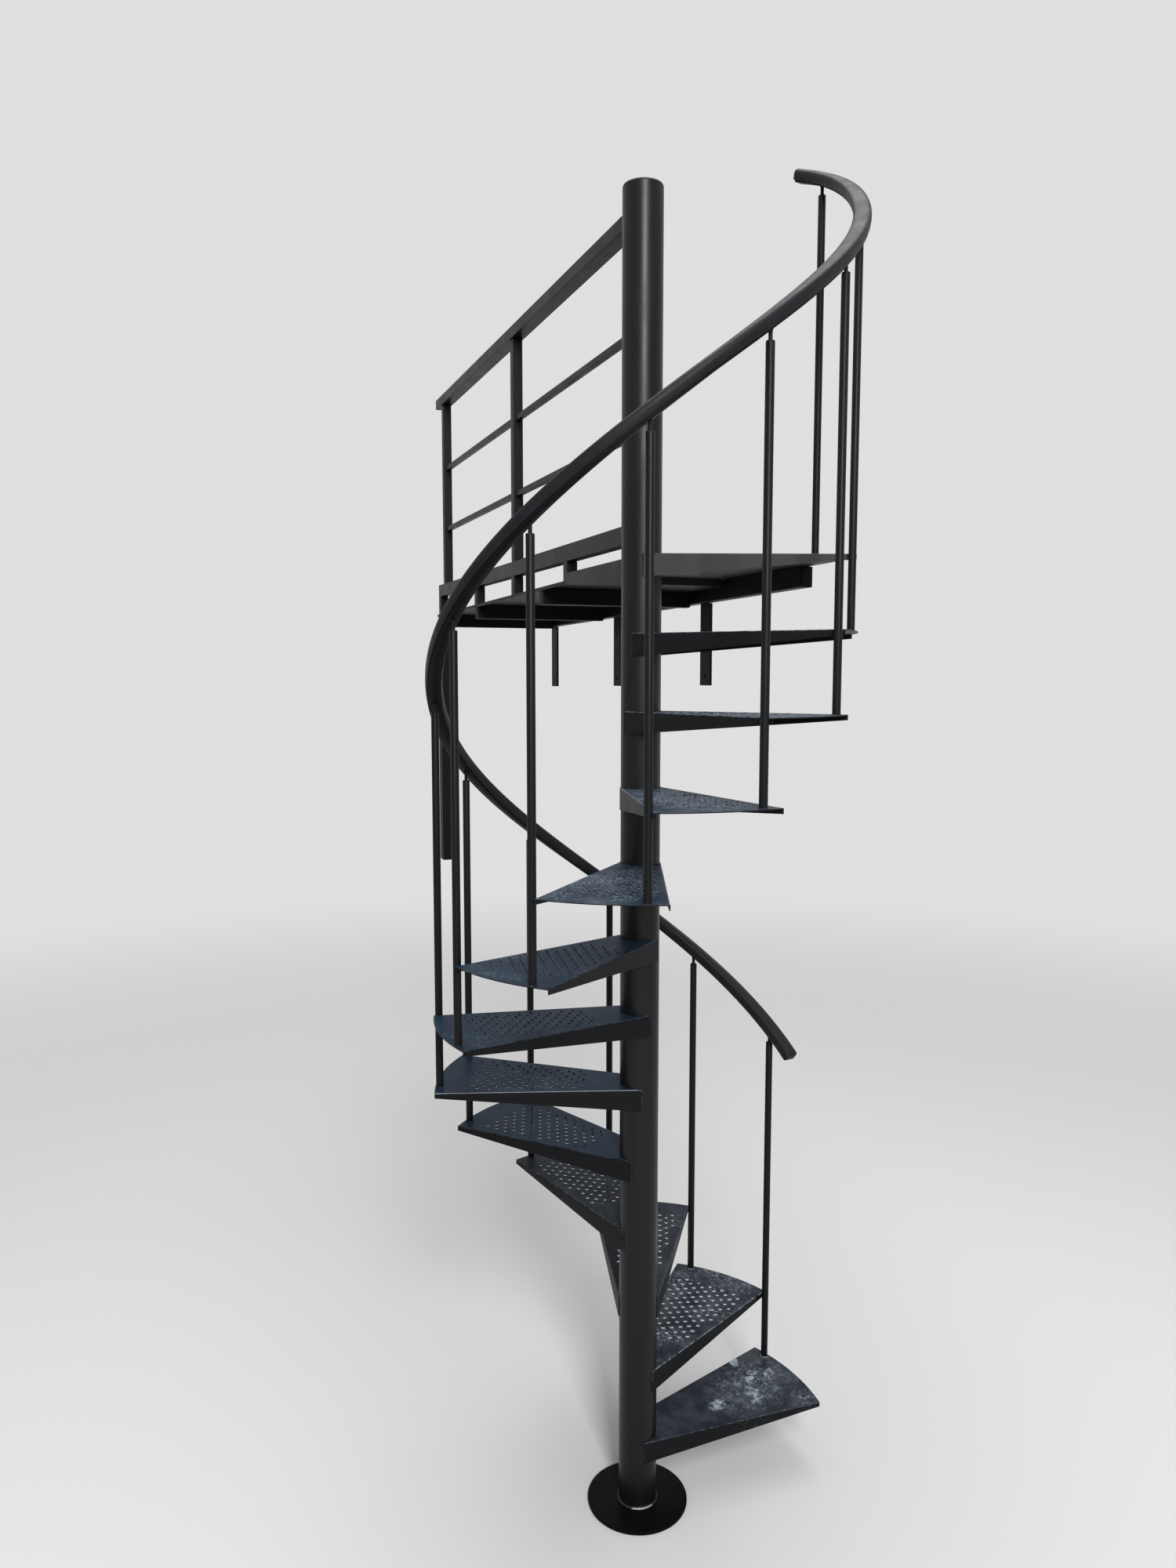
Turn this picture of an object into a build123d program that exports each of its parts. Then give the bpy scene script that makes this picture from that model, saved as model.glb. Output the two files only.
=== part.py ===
from build123d import *
from math import acos, copysign, cos, degrees, hypot, radians, sin, sqrt
import os

os.makedirs("parts", exist_ok=True)

# Driving dimensions in millimetres and degrees, floor at z = 0, column on the z axis
riser = 220.0
tread_count = 12
step_angle = 28.6
first_baluster_angle = 19.4
seat_gap = 0.3
grip_gap = 0.5

base_radius = 152.0
base_thickness = 10.0
anchor_circle_radius = 125.0
anchor_hole_radius = 6.5
anchor_count = 4

column_radius = 57.15
column_wall = 3.6
column_over_rail = 25.0
cap_height = 11.0
cap_edge = 6.0

tread_radius = 601.0
tread_lead_angle = 27.3
tread_trail_angle = 5.1
sheet = 3.0
flange_deep = 65.0
flange_shallow = 15.0
bend_radius = 2.5

baluster_inset = 14.0
baluster_radius = 11.0
baluster_length = 1097.0
pin_radius = 5.0
pin_length = 25.0

grip_width = 50.0
grip_height = 29.0
grip_sides = 8
grip_squareness = 0.6
bar_width = 32.0
bar_height = 8.0
rail_start_step = 0.7
rail_end_step = 13.4
rail_samples_per_step = 3
settle_start_step = 12.2
settle_drop = 44.0

landing_height = riser * (tread_count + 1)
landing_depth = 600.0
landing_left_x = -12.0
landing_flange_near = 78.0
landing_flange_far = 38.0
wall_clearance = 11.0

walkway_length = 1845.0
walkway_step_down = 24.0
walkway_fall = 0.011
deck_sheet = 4.0
deck_lip = 12.0
frame_depth = 56.0
frame_width = 40.0
joist_offsets = (270.0, 1142.0)
wall_beam_start_y = 78.0
wall_beam_drop = 49.0
wall_beam_overhang = 75.0

leg_width = 78.0
leg_thickness = 10.0
leg_length = 300.0
leg_offsets = (187.0, 1040.0)
end_leg_inset = 40.0
leg_hole_radius = 6.5
leg_hole_rise = 35.0

support_size = 60.0
terrace_height = 1615.0

guard_x = 15.0
guard_start_y = 30.0
post_size = 38.0
post_offsets = (622.0, 1727.0)
stub_offsets = (30.0, 627.0, 1170.0, 1826.0)
top_rail_width = 52.0
top_rail_height = 43.0
top_rail_rise = 868.0
top_rail_length = 1830.0
mid_bar_size = 20.0
mid_bar_rises = (263.0, 543.0)
bottom_rail_rise = 97.0
bottom_rail_height = 56.0
bottom_rail_width = 38.0
bottom_rail_length = 1845.0

# Lengths that follow from those above
baluster_circle_radius = tread_radius - baluster_inset
column_seat_radius = column_radius + seat_gap
bottom_rail_top = landing_height + bottom_rail_rise
top_rail_top = bottom_rail_top + top_rail_rise
column_top = top_rail_top + column_over_rail
wall_x = tread_radius + wall_clearance
walkway_end_y = landing_depth + walkway_length
wall_beam_end_y = walkway_end_y + wall_beam_overhang
deck_x1 = wall_x - frame_width - seat_gap


# Points and angles
def polar(radius, angle):
    return (radius * cos(radians(angle)), radius * sin(radians(angle)))


def baluster_angle(step):
    return first_baluster_angle + (step - 1) * step_angle


# A bar along x whose side view is a polygon of (y, z) points
def side_block(x0, x1, *outline):
    with BuildPart() as piece:
        with BuildSketch(Plane.YZ.offset(x0)):
            with BuildLine():
                Polyline(*outline, close=True)
            make_face()
        extrude(amount=x1 - x0)
    return piece.part


def save(piece, name):
    piece.label = name
    export_step(piece, f"parts/{name}.step")


# Round base plate with its anchor holes
with BuildPart() as base_plate:
    with BuildSketch():
        Circle(base_radius)
        with PolarLocations(anchor_circle_radius, anchor_count, start_angle=45):
            Circle(anchor_hole_radius, mode=Mode.SUBTRACT)
    extrude(amount=base_thickness)
save(base_plate.part, "base_plate")

# Column tube and its cap
with BuildPart() as column:
    with BuildSketch(Plane.XY.offset(base_thickness)):
        Circle(column_radius)
        Circle(column_radius - column_wall, mode=Mode.SUBTRACT)
    extrude(amount=column_top - base_thickness)
save(column.part, "column")

with BuildPart() as column_cap:
    with BuildSketch(Plane.XY.offset(column_top)):
        Circle(column_radius)
    extrude(amount=cap_height)
    chamfer(column_cap.edges().group_by(Axis.Z)[-1], cap_edge)
save(column_cap.part, "column_cap")


# Folded tread, its straight sides tangent to the column
side_radius = column_seat_radius + sheet
side_turn = degrees(acos(side_radius / tread_radius))
side_length = sqrt(tread_radius**2 - side_radius**2)


def side_flange(foot_angle, corner_angle, far_depth, top):
    foot = polar(side_radius, foot_angle)
    corner = polar(tread_radius, corner_angle)
    along = Vector(corner[0] - foot[0], corner[1] - foot[1], 0).normalized()
    inward = Vector(-foot[0], -foot[1], 0).normalized()
    plane = Plane(origin=(foot[0], foot[1], top), x_dir=along, z_dir=inward)
    down = -1 if plane.y_dir.Z > 0 else 1
    with BuildPart() as flange:
        with BuildSketch(plane):
            with BuildLine():
                Polyline(
                    (0, 0),
                    (side_length, 0),
                    (side_length, down * far_depth),
                    (0, down * flange_deep),
                    close=True,
                )
            make_face()
        extrude(amount=sheet)
    return flange.part


def tread(step):
    angle = baluster_angle(step)
    top = riser * step
    lead = angle - tread_lead_angle
    trail = angle + tread_trail_angle
    middle = (lead + trail) / 2
    inner = column_seat_radius
    with BuildPart() as piece:
        with BuildSketch(Plane.XY.offset(top - sheet)):
            with BuildLine():
                Line(polar(inner, lead - side_turn), polar(side_radius, lead - side_turn))
                Line(polar(side_radius, lead - side_turn), polar(tread_radius, lead))
                ThreePointArc(
                    polar(tread_radius, lead),
                    polar(tread_radius, middle),
                    polar(tread_radius, trail),
                )
                Line(polar(tread_radius, trail), polar(side_radius, trail + side_turn))
                Line(polar(side_radius, trail + side_turn), polar(inner, trail + side_turn))
                ThreePointArc(
                    polar(inner, trail + side_turn),
                    polar(inner, middle),
                    polar(inner, lead - side_turn),
                )
            make_face()
        extrude(amount=sheet)
        add(side_flange(lead - side_turn, lead, flange_shallow, top))
        add(side_flange(trail + side_turn, trail, flange_shallow, top))
        bends = piece.edges().filter_by(lambda e: abs(e.length - side_length) < 0.5)
        bends = bends.filter_by(lambda e: abs(e.center().Z - top) < 0.01)
        fillet(bends, bend_radius)
    return piece.part


for step in range(1, tread_count + 1):
    save(tread(step), f"tread_{step:02d}")


# Rail line over the balusters, under the flat bar, easing off above the landing
def rail_point(step):
    x, y = polar(baluster_circle_radius, baluster_angle(step))
    drop = settle_drop * max(step - settle_start_step, 0.0) ** 2
    return (x, y, riser * step + baluster_length + pin_length - drop)


def rail_steepness(step):
    low = rail_point(step - 0.05)
    high = rail_point(step + 0.05)
    return (high[2] - low[2]) / hypot(high[0] - low[0], high[1] - low[1])


# Balusters: tube on the tread and a slimmer pin up to the flat bar
def baluster(step):
    x, y, rail_z = rail_point(step)
    bottom = riser * step
    top = rail_z - pin_length
    pin_top = rail_z - pin_radius * rail_steepness(step) - seat_gap
    with BuildPart() as piece:
        with BuildSketch(Plane.XY.offset(bottom)):
            with Locations((x, y)):
                Circle(baluster_radius)
        extrude(amount=top - bottom)
        with BuildSketch(Plane.XY.offset(top)):
            with Locations((x, y)):
                Circle(pin_radius)
        extrude(amount=pin_top - top)
    return piece.part


for step in range(1, tread_count + 2):
    save(baluster(step), f"baluster_{step:02d}")

rail_count = int((rail_end_step - rail_start_step) * rail_samples_per_step) + 1
section_positions = [i / rail_count for i in range(rail_count + 1)]

with BuildLine() as rail_line:
    Spline([rail_point(rail_start_step + (rail_end_step - rail_start_step) * i) for i in section_positions])


# Section plane across the rail line: level from side to side, square to the line
def rail_section(position):
    tangent = rail_line.line % position
    inward = Vector(-tangent.Y, tangent.X, 0).normalized()
    return Plane(origin=rail_line.line @ position, x_dir=inward, z_dir=tangent)


# A corner of the grip's rounded outline, a superellipse taken at equal steps, flat above and below
grip_reach = cos(radians(180 / grip_sides)) ** grip_squareness


def grip_corner(i):
    turn = radians(360 / grip_sides * (i + 0.5))
    across = copysign(abs(cos(turn)) ** grip_squareness, cos(turn)) / grip_reach
    up = copysign(abs(sin(turn)) ** grip_squareness, sin(turn)) / grip_reach
    return (grip_width / 2 * across, bar_height + grip_gap + grip_height / 2 * (1 + up))


grip_outline = [grip_corner(i) for i in range(grip_sides)]

with BuildPart() as handrail_bar:
    for position in section_positions:
        with BuildSketch(rail_section(position)):
            with Locations((0, bar_height / 2)):
                Rectangle(bar_width, bar_height)
    loft()
save(handrail_bar.part, "handrail_bar")

with BuildPart() as handrail:
    for position in section_positions:
        with BuildSketch(rail_section(position)):
            with BuildLine():
                Polyline(*grip_outline, close=True)
            make_face()
    loft()
save(handrail.part, "handrail")


# Landing plate: last nosing and open side folded like the treads, back edge folded down to the deck
def landing():
    angle = baluster_angle(tread_count + 1)
    top = landing_height
    lead = angle - tread_lead_angle
    inner = column_seat_radius
    left_y = sqrt(inner**2 - landing_left_x**2)
    with BuildPart() as piece:
        with BuildSketch(Plane.XY.offset(top - sheet)):
            with BuildLine():
                Line(polar(inner, lead - side_turn), polar(side_radius, lead - side_turn))
                Line(polar(side_radius, lead - side_turn), polar(tread_radius, lead))
                ThreePointArc(
                    polar(tread_radius, lead),
                    polar(tread_radius, (lead + 360) / 2),
                    (tread_radius, 0),
                )
                Polyline(
                    (tread_radius, 0),
                    (tread_radius, landing_depth),
                    (landing_left_x, landing_depth),
                    (landing_left_x, left_y),
                )
                ThreePointArc((landing_left_x, left_y), (inner, 0), polar(inner, lead - side_turn))
            make_face()
        extrude(amount=sheet)
        add(side_flange(lead - side_turn, lead, flange_shallow, top))
        with BuildSketch(Plane.YZ.offset(landing_left_x)):
            with BuildLine():
                Polyline(
                    (inner, top),
                    (landing_depth, top),
                    (landing_depth, top - landing_flange_far),
                    (inner, top - landing_flange_near),
                    close=True,
                )
            make_face()
        extrude(amount=sheet)
        back_drop = walkway_step_down + deck_sheet
        with BuildSketch(Plane.XY.offset(top - back_drop)):
            with BuildLine():
                Polyline(
                    (landing_left_x, landing_depth - sheet),
                    (deck_x1, landing_depth - sheet),
                    (deck_x1, landing_depth),
                    (landing_left_x, landing_depth),
                    close=True,
                )
            make_face()
        extrude(amount=back_drop)
        bends = piece.edges().filter_by(lambda e: abs(e.center().Z - top) < 0.01)
        nosing = bends.filter_by(lambda e: abs(e.length - side_length) < 0.5)
        fillet(nosing, bend_radius)
    return piece.part


save(landing(), "landing_plate")


# Heights along the walkway, which falls a little away from the stair
def deck_top(y):
    return landing_height - walkway_step_down - walkway_fall * (y - landing_depth)


def frame_top(y):
    return deck_top(y) - deck_sheet - seat_gap


def frame_under(y):
    return frame_top(y) - frame_depth


def wall_beam_under(y):
    return deck_top(y) - wall_beam_drop


# Deck sheet with its open edge folded down
deck_y0 = landing_depth + seat_gap
lip_x1 = landing_left_x + deck_sheet
with BuildPart() as walkway_deck:
    for x1, depth in ((deck_x1, deck_sheet), (lip_x1, deck_lip)):
        with BuildSketch(Plane.YZ.offset(landing_left_x)):
            with BuildLine():
                Polyline(
                    (deck_y0, deck_top(deck_y0)),
                    (walkway_end_y, deck_top(walkway_end_y)),
                    (walkway_end_y, deck_top(walkway_end_y) - depth),
                    (deck_y0, deck_top(deck_y0) - depth),
                    close=True,
                )
            make_face()
        extrude(amount=x1 - landing_left_x)
save(walkway_deck.part, "walkway_deck")

# Wall beam, level under the landing plate and falling with the walkway behind it
beam_top = landing_height - sheet - seat_gap
wall_beam = side_block(
    wall_x - frame_width,
    wall_x,
    (wall_beam_start_y, beam_top),
    (landing_depth, beam_top),
    (wall_beam_end_y, beam_top - walkway_fall * (wall_beam_end_y - landing_depth)),
    (wall_beam_end_y, wall_beam_under(wall_beam_end_y)),
    (wall_beam_start_y, wall_beam_under(wall_beam_start_y)),
)
save(wall_beam, "wall_beam")


# Joists and end beam from the folded edge to the wall beam
def cross_bar(y0):
    y1 = y0 + frame_width
    return side_block(
        lip_x1 + seat_gap,
        deck_x1,
        (y0, frame_top(y0)),
        (y1, frame_top(y1)),
        (y1, frame_under(y1)),
        (y0, frame_under(y0)),
    )


with BuildPart() as joists:
    for offset in joist_offsets:
        add(cross_bar(landing_depth + offset - frame_width / 2))
save(joists.part, "joists")
save(cross_bar(walkway_end_y - frame_width), "end_beam")


# Wall legs under the wall beam, each with its bolt hole
def wall_leg(y):
    top = wall_beam_under(y + leg_width / 2) - seat_gap
    bottom = top - leg_length
    with BuildPart() as leg:
        with BuildSketch(Plane.YZ.offset(wall_x - leg_thickness)):
            with Locations((y, (bottom + top) / 2)):
                Rectangle(leg_width, leg_length)
            with Locations((y, bottom + leg_hole_rise)):
                Circle(leg_hole_radius, mode=Mode.SUBTRACT)
        extrude(amount=leg_thickness)
    return leg.part


leg_ys = [landing_depth + offset for offset in leg_offsets] + [wall_beam_end_y - end_leg_inset]
with BuildPart() as wall_legs:
    for y in leg_ys:
        add(wall_leg(y))
save(wall_legs.part, "wall_legs")

# Support post under the open corner, flush with the deck's edges
support_top = frame_under(walkway_end_y) - seat_gap
with BuildPart() as support_post:
    with BuildSketch(Plane.XY.offset(terrace_height)):
        with Locations((landing_left_x + support_size / 2, walkway_end_y - support_size / 2)):
            Rectangle(support_size, support_size)
    extrude(amount=support_top - terrace_height)
save(support_post.part, "support_post")


# A level guard rail bar, coped round the column where it meets it
def guard_rail(width, y0, y1, top, height):
    with BuildPart() as piece:
        with BuildSketch(Plane.XY.offset(top - height)):
            with Locations((guard_x, (y0 + y1) / 2)):
                Rectangle(width, y1 - y0)
            Circle(column_seat_radius, mode=Mode.SUBTRACT)
        extrude(amount=height)
    return piece.part


top_rail_end_y = landing_depth + top_rail_length
bottom_rail_end_y = landing_depth + bottom_rail_length
save(
    guard_rail(top_rail_width, guard_start_y, top_rail_end_y, top_rail_top, top_rail_height),
    "guard_top_rail",
)
save(
    guard_rail(bottom_rail_width, guard_start_y, bottom_rail_end_y, bottom_rail_top, bottom_rail_height),
    "guard_bottom_rail",
)

# Guard posts and the two slim bars between them
post_ys = [landing_depth + offset for offset in post_offsets]
with BuildPart() as guard_posts:
    for y in post_ys:
        with BuildSketch(Plane.XY.offset(bottom_rail_top + seat_gap)):
            with Locations((guard_x, y)):
                Rectangle(post_size, post_size)
        extrude(amount=top_rail_top - top_rail_height - bottom_rail_top - 2 * seat_gap)
save(guard_posts.part, "guard_posts")

post_reach = post_size / 2 + seat_gap
bays = ((guard_start_y, post_ys[0] - post_reach), (post_ys[0] + post_reach, post_ys[1] - post_reach))
for name, rise in zip(("guard_bar_lower", "guard_bar_upper"), mid_bar_rises):
    with BuildPart() as guard_bar:
        for y0, y1 in bays:
            add(guard_rail(mid_bar_size, y0, y1, bottom_rail_top + rise, mid_bar_size))
    save(guard_bar.part, name)

# Stubs that stand on the deck and carry the guard's bottom rail
with BuildPart() as guard_stubs:
    for offset in stub_offsets:
        y = landing_depth + offset
        foot_z = deck_top(y - post_size / 2) + seat_gap
        with BuildSketch(Plane.XY.offset(foot_z)):
            with Locations((guard_x, y)):
                Rectangle(post_size, post_size)
        extrude(amount=bottom_rail_top - bottom_rail_height - seat_gap - foot_z)
save(guard_stubs.part, "guard_stubs")
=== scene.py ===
"""Spiral staircase with a landing walkway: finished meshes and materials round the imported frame."""
import math
import random

import bmesh
import bpy
from bpy.props import FloatProperty, FloatVectorProperty, IntProperty, PointerProperty
from mathutils import Matrix, Vector, noise


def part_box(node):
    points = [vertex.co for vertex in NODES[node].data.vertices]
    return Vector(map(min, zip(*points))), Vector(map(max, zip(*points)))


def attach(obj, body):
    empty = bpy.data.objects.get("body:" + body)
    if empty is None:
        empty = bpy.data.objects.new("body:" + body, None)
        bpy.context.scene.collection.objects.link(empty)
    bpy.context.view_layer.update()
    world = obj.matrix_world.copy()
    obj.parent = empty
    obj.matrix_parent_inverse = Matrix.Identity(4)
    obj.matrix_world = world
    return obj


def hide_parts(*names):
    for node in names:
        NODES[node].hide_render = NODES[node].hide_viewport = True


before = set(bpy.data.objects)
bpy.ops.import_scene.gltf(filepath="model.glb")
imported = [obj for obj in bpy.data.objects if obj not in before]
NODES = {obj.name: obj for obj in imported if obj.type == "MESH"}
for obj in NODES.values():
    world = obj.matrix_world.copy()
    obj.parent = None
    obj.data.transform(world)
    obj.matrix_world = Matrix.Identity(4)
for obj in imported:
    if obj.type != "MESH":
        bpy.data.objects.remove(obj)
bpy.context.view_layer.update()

bl_info = {
    "name": "Spiral staircase",
    "version": (1, 0, 0),
    "blender": (4, 5, 0),
    "location": "3D View > Sidebar > Stair",
    "description": "Dresses the frame of a black steel spiral staircase",
    "category": "Add Mesh",
}

TREAD_COUNT = sum(name.startswith("tread_") for name in NODES)
MM = 0.001


# Properties that a user can change, in metres, in degrees or as a colour
def metres(name, description, default):
    return FloatProperty(name=name, description=description, default=default, unit="LENGTH", precision=4)


def degrees(name, description, default):
    return FloatProperty(name=name, description=description, default=math.radians(default), subtype="ANGLE")


def colour(name, description, default):
    return FloatVectorProperty(
        name=name, description=description, default=default, size=3, subtype="COLOR", min=0, max=1)


# Sizes read from the frame
def centre_of(node_name):
    low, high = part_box(node_name)
    return (Vector(low) + Vector(high)) / 2


def height_of(node_name):
    low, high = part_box(node_name)
    return high[2] - low[2]


def baluster_angle(step):
    centre = centre_of(f"baluster_{step:02d}")
    return math.atan2(centre.y, centre.x)


class StairSizes(bpy.types.PropertyGroup):
    """Sizes of the stair that the finished pieces share"""

    riser: metres("Riser", "Height from one tread to the next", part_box("tread_01")[1][2])
    stair_radius: metres(
        "Stair radius", "From the column's axis to the treads' rim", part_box("landing_plate")[1][0])
    column_radius: metres("Column radius", "Outside radius of the column tube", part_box("column")[1][0])
    column_wall: metres("Column wall", "Wall of the column tube", 3.6 * MM)
    anchor_circle: metres("Anchor circle", "From the column's axis to the base plate's holes", 125 * MM)
    anchor_hole: metres("Anchor hole", "Radius of the base plate's holes", 6.5 * MM)
    seat_gap: metres("Seat gap", "Clearance between the column and what sits on it", 0.3 * MM)
    tread_half_angle: degrees("Tread half angle", "Half of the angle that a tread spans at its rim", 16.2)
    tread_behind_baluster: degrees(
        "Tread middle behind baluster", "Angle from a tread's middle line to its baluster", 11.1)
    sheet: metres("Sheet", "Thickness of the folded plates", 3 * MM)
    flange_deep: metres(
        "Flange at the column", "Depth of a tread's folded side at the column", height_of("tread_01"))
    flange_shallow: metres("Flange at the rim", "Depth of a tread's folded side at the rim", 15 * MM)
    pin_radius: metres("Pin radius", "Radius of the pin on top of a baluster", 5 * MM)
    pin_length: metres("Pin length", "From the top of a baluster's tube to the flat bar", 25 * MM)


class PerforationSizes(bpy.types.PropertyGroup):
    """Sizes of the punched field in the treads"""

    pitch_along: metres("Pitch along a row", "Distance between holes in a row", 35 * MM)
    pitch_across: metres(
        "Pitch between rows", "Distance from one row to the next, staggered by half a pitch", 22 * MM)
    row_start: metres("Row start", "Where the rows count from, out from the column's axis", -7.5 * MM)
    second_tread_shift: metres(
        "Second tread's shift", "How much further out the field of the second tread lies", 17.5 * MM)
    field_near: metres("Field's near end", "Nearest hole to the column's axis", 150 * MM)
    field_far: metres("Field's far end", "Furthest hole from the column's axis", 510 * MM)
    side_margin: metres("Side margin", "Plain band between the outer holes and a tread's side", 27 * MM)
    hole_radius: metres("Hole radius", "Radius of a punched hole", 5.2 * MM)
    rim_radius: metres("Rim radius", "Radius of the raised rim at its foot", 8.6 * MM)
    rim_height: metres("Rim height", "How far the rim stands above the plate", 1.3 * MM)
    hole_sides: IntProperty(
        name="Hole sides", description="Straight pieces in the outline of a hole", default=14, min=8, max=32)


class RailSizes(bpy.types.PropertyGroup):
    """Sizes of the handrail's line and of its grip"""

    rise: metres("Rail rise", "Underside of the flat bar above the tread below it", 1122 * MM)
    start_step: FloatProperty(name="Start", description="Where the rail starts, in steps", default=0.7)
    end_step: FloatProperty(name="End", description="Where the rail ends, in steps", default=13.4)
    settle_start: FloatProperty(
        name="Settles from", description="Step from which the rail eases off", default=12.2)
    settle_drop: metres("Settling", "Drop after the first step of easing off", 44 * MM)
    bar_height: metres("Flat bar", "Thickness of the flat bar under the grip", 8 * MM)
    grip_gap: metres("Grip gap", "Gap between the flat bar and the grip", 0.5 * MM)
    grip_half_width: metres("Grip half width", "Half of the grip's width", 24.2 * MM)
    grip_height: metres("Grip height", "Height of the grip over the flat bar", 29 * MM)
    end_rounding: metres("End rounding", "Radius of the rounding at the grip's ends", 9 * MM)
    lip_drop: metres("Lip drop", "How far the grip's lips reach down beside the flat bar", 4 * MM)
    bar_half_width: metres("Bar half width", "Half of the flat bar's width", 16 * MM)
    bar_inset: metres("Bar inset", "How far the flat bar ends short of the grip", 9 * MM)


class StairFinish(bpy.types.PropertyGroup):
    """Colours of the finishes"""

    coat: colour("Black coat", "Powder coat on the steel", (0.0065, 0.0070, 0.0082))
    # On faces that look up, the tread and walked coats hold the coat's own dull tone with a painted reflection
    # of the blue sky
    tread_coat_and_sky_reflection: colour("Tread coat", "Powder coat on the treads, dulled by feet", (0.0070, 0.0200, 0.0385))
    walked_coat_and_sky_reflection: colour(
        "Walked coat", "Powder coat on the lowest treads, the landing and the deck", (0.0095, 0.0145, 0.0225))
    # The dust colour's blue tint is a painted reflection of the sky; the same colour also paints the highlights
    # on the treads' folds and hole rims
    dust: colour("Dust", "Pale dust and plaster on the treads", (0.345, 0.385, 0.445))
    grip: colour("Grip", "Dark grey moulded grip", (0.0075, 0.0083, 0.0097))
    weld: colour("Weld", "Weld beads where the coat is thin", (0.45, 0.46, 0.48))
    floor: colour("Floor", "Plain pale floor", (0.66, 0.66, 0.66))


class StageSizes(bpy.types.PropertyGroup):
    """Camera, lamps and floor"""

    camera_place: FloatVectorProperty(
        name="Camera place", description="Where the camera stands",
        default=(-1.2833, -2.9315, 2.5224), size=3, subtype="TRANSLATION", unit="LENGTH")
    camera_turn: degrees("Camera turn", "Turn of the camera about the vertical", -20.93)
    camera_tilt: degrees("Camera tilt", "How far the camera looks down", 5.59)
    lens: FloatProperty(name="Lens", description="Focal length over a sensor 36 mm wide", default=34.06)
    floor_radius: metres("Floor radius", "Radius of the floor", 60)
    floor_fade_start: metres("Fade start", "Where the floor starts to fade into the backdrop", 3.0)
    floor_fade_end: metres("Fade end", "Where the floor is one with the backdrop", 10.0)
    floor_bounce: colour(
        "Floor bounce", "Colour of the floor as the object's undersides are lit by it", (0.22, 0.22, 0.22))


def sizes():
    return bpy.context.scene.stair_sizes


def finish_of():
    return bpy.context.scene.stair_finish


# Node trees: small helpers
def add_node(tree, kind, **settings):
    made = tree.nodes.new(kind)
    for name, value in settings.items():
        setattr(made, name, value)
    return made


def set_inputs(node, **values):
    """Sets a node's sockets by their names, with underscores for the spaces"""
    for name, value in values.items():
        node.inputs[name.replace("_", " ")].default_value = value
    return node


def plug(tree, socket, value):
    """Links another node's output to a socket, or sets the socket's own value"""
    if isinstance(value, bpy.types.NodeSocket):
        tree.links.new(value, socket)
    else:
        socket.default_value = value


def maths(tree, operation, first, second, clamp=False):
    made = add_node(tree, "ShaderNodeMath", operation=operation, use_clamp=clamp)
    plug(tree, made.inputs[0], first)
    plug(tree, made.inputs[1], second)
    return made.outputs[0]


def times(tree, first, second, clamp=False):
    return maths(tree, "MULTIPLY", first, second, clamp)


def plus(tree, first, second, clamp=False):
    return maths(tree, "ADD", first, second, clamp)


def vector_maths(tree, operation, first, second=(0, 0, 0)):
    made = add_node(tree, "ShaderNodeVectorMath", operation=operation)
    plug(tree, made.inputs[0], first)
    plug(tree, made.inputs[1], second)
    return made.outputs["Value"]


def ramp(tree, value, low, high, start=0.0, end=1.0):
    """Runs smoothly from start to end while the value runs from low to high"""
    made = add_node(tree, "ShaderNodeMapRange", interpolation_type="SMOOTHSTEP")
    for socket, given in zip(made.inputs, (value, low, high, start, end)):
        plug(tree, socket, given)
    return made.outputs["Result"]


def object_place(tree):
    return add_node(tree, "ShaderNodeTexCoord").outputs["Object"]


def noise_of(tree, scale, detail=3.0, roughness=0.5, stretch=(1, 1, 1)):
    mapping = set_inputs(add_node(tree, "ShaderNodeMapping"), Scale=stretch)
    tree.links.new(object_place(tree), mapping.inputs["Vector"])
    made = add_node(tree, "ShaderNodeTexNoise")
    tree.links.new(mapping.outputs["Vector"], made.inputs["Vector"])
    for name, value in (("Scale", scale), ("Detail", detail), ("Roughness", roughness)):
        plug(tree, made.inputs[name], value)
    return made.outputs["Fac"]


# The colour sockets of a Mix node share their names with its other types, so they are taken by number
def colour_mix(tree, mask, first, second):
    made = add_node(tree, "ShaderNodeMix", data_type="RGBA")
    tree.links.new(mask, made.inputs[0])
    for socket, value in ((made.inputs[6], first), (made.inputs[7], second)):
        plug(tree, socket, value if isinstance(value, bpy.types.NodeSocket) else (*value, 1.0))
    return made.outputs[2]


def shader_mix(tree, mask, first, second):
    made = add_node(tree, "ShaderNodeMixShader")
    for socket, value in zip(made.inputs, (mask, first, second)):
        tree.links.new(value, socket)
    return made.outputs["Shader"]


def seen_mask(tree):
    """1 for rays that show a surface: straight from the camera, by gloss or through glass"""
    path = add_node(tree, "ShaderNodeLightPath")
    shown = maths(tree, "MAXIMUM", path.outputs["Is Camera Ray"], path.outputs["Is Glossy Ray"])
    return maths(tree, "MAXIMUM", shown, path.outputs["Is Transmission Ray"])


def white_light(tree, kind, level):
    return set_inputs(add_node(tree, kind), Color=(1, 1, 1, 1), Strength=level).outputs[0]


def upward_mask(tree, low, high):
    """How far a face looks up, from its normal"""
    facing = add_node(tree, "ShaderNodeNewGeometry")
    split = add_node(tree, "ShaderNodeSeparateXYZ")
    tree.links.new(facing.outputs["Normal"], split.inputs["Vector"])
    return ramp(tree, split.outputs["Z"], low, high)


def new_group(name, inputs, outputs):
    group = bpy.data.node_groups.new(name, "ShaderNodeTree")
    for label, default in inputs:
        socket = group.interface.new_socket(name=label, in_out="INPUT", socket_type="NodeSocketFloat")
        socket.default_value = default
    for label in outputs:
        group.interface.new_socket(name=label, in_out="OUTPUT", socket_type="NodeSocketFloat")
    return group, group.nodes.new("NodeGroupInput"), group.nodes.new("NodeGroupOutput")


def use_group(tree, group, **values):
    return set_inputs(add_node(tree, "ShaderNodeGroup", node_tree=group), **values)


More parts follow.
